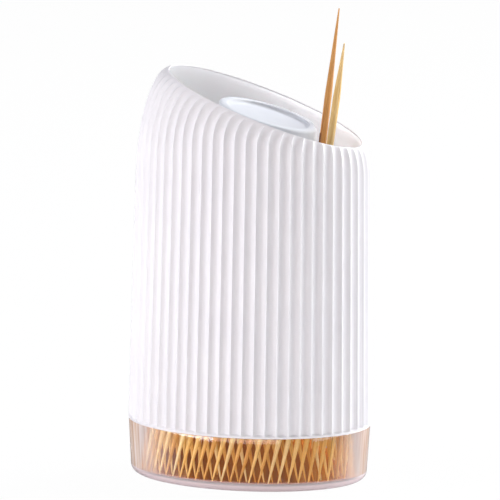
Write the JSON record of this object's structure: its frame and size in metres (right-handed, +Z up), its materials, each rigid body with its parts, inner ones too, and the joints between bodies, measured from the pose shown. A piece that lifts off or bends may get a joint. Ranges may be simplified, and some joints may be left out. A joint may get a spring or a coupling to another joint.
{
  "type": "toothpick holder",
  "caption": "Oval fluted press-top toothpick holder: clear base cup of toothpicks, slanted mouth, sprung button that raises them, case that lifts off.",
  "frame": {"origin": "centre of the underside of the base cup", "axes": "+Z up out of the mouth, +X towards the low side of the mouth, +Y across the oval"},
  "size_m": [0.056, 0.042, 0.1075],
  "materials": {
    "clear_cup": "clear, polished",
    "case_white": "satin moulded white",
    "button_white": "smooth cool white",
    "inner_plastic": "plain moulded white",
    "steel": "plated steel",
    "bamboo": "sanded bamboo"
  },
  "bodies": {
    "base": {"base_cup": "clear_cup", "outer_row_toothpicks": "bamboo", "inner_row_toothpicks": "bamboo", "waiting_toothpick_1": "bamboo", "waiting_toothpick_2": "bamboo", "waiting_toothpick_3": "bamboo", "waiting_toothpick_4": "bamboo", "waiting_toothpick_5": "bamboo", "waiting_toothpick_6": "bamboo", "waiting_toothpick_7": "bamboo", "waiting_toothpick_8": "bamboo", "waiting_toothpick_9": "bamboo", "waiting_toothpick_10": "bamboo"},
    "case": {"outer_case": "case_white", "guide_bridge": "inner_plastic", "bridge_screws": "steel", "return_spring": "steel"},
    "plunger": {"push_button": "button_white", "pick_plate": "inner_plastic", "plate_screws": "steel", "stem_washer": "steel", "stem_screw": "steel"},
    "raised_1": {"raised_toothpick_1": "bamboo"},
    "raised_2": {"raised_toothpick_2": "bamboo"},
    "raised_3": {"raised_toothpick_3": "bamboo"}
  },
  "joints": [
    {"name": "case_lift", "type": "slide", "parent": "base", "child": "case", "axis": [0, 0, 1], "range_m": [0, 0.06]},
    {"name": "button_press", "type": "slide", "parent": "case", "child": "plunger", "axis": [0, 0, -1], "range_m": [0, 0.01], "stiffness_N_per_m": 150, "springref_m": -0.006, "deforming": ["return_spring"]},
    {"name": "toothpick_1_draw", "type": "slide", "parent": "plunger", "child": "raised_1", "axis": [0.0946, 0.0484, 0.9943], "range_m": [0, 0.045]},
    {"name": "toothpick_2_draw", "type": "slide", "parent": "plunger", "child": "raised_2", "axis": [0.1253, 0, 0.9921], "range_m": [0, 0.045]},
    {"name": "toothpick_3_draw", "type": "slide", "parent": "plunger", "child": "raised_3", "axis": [0.0506, -0.0133, 0.9986], "range_m": [0, 0.062]}
  ]
}
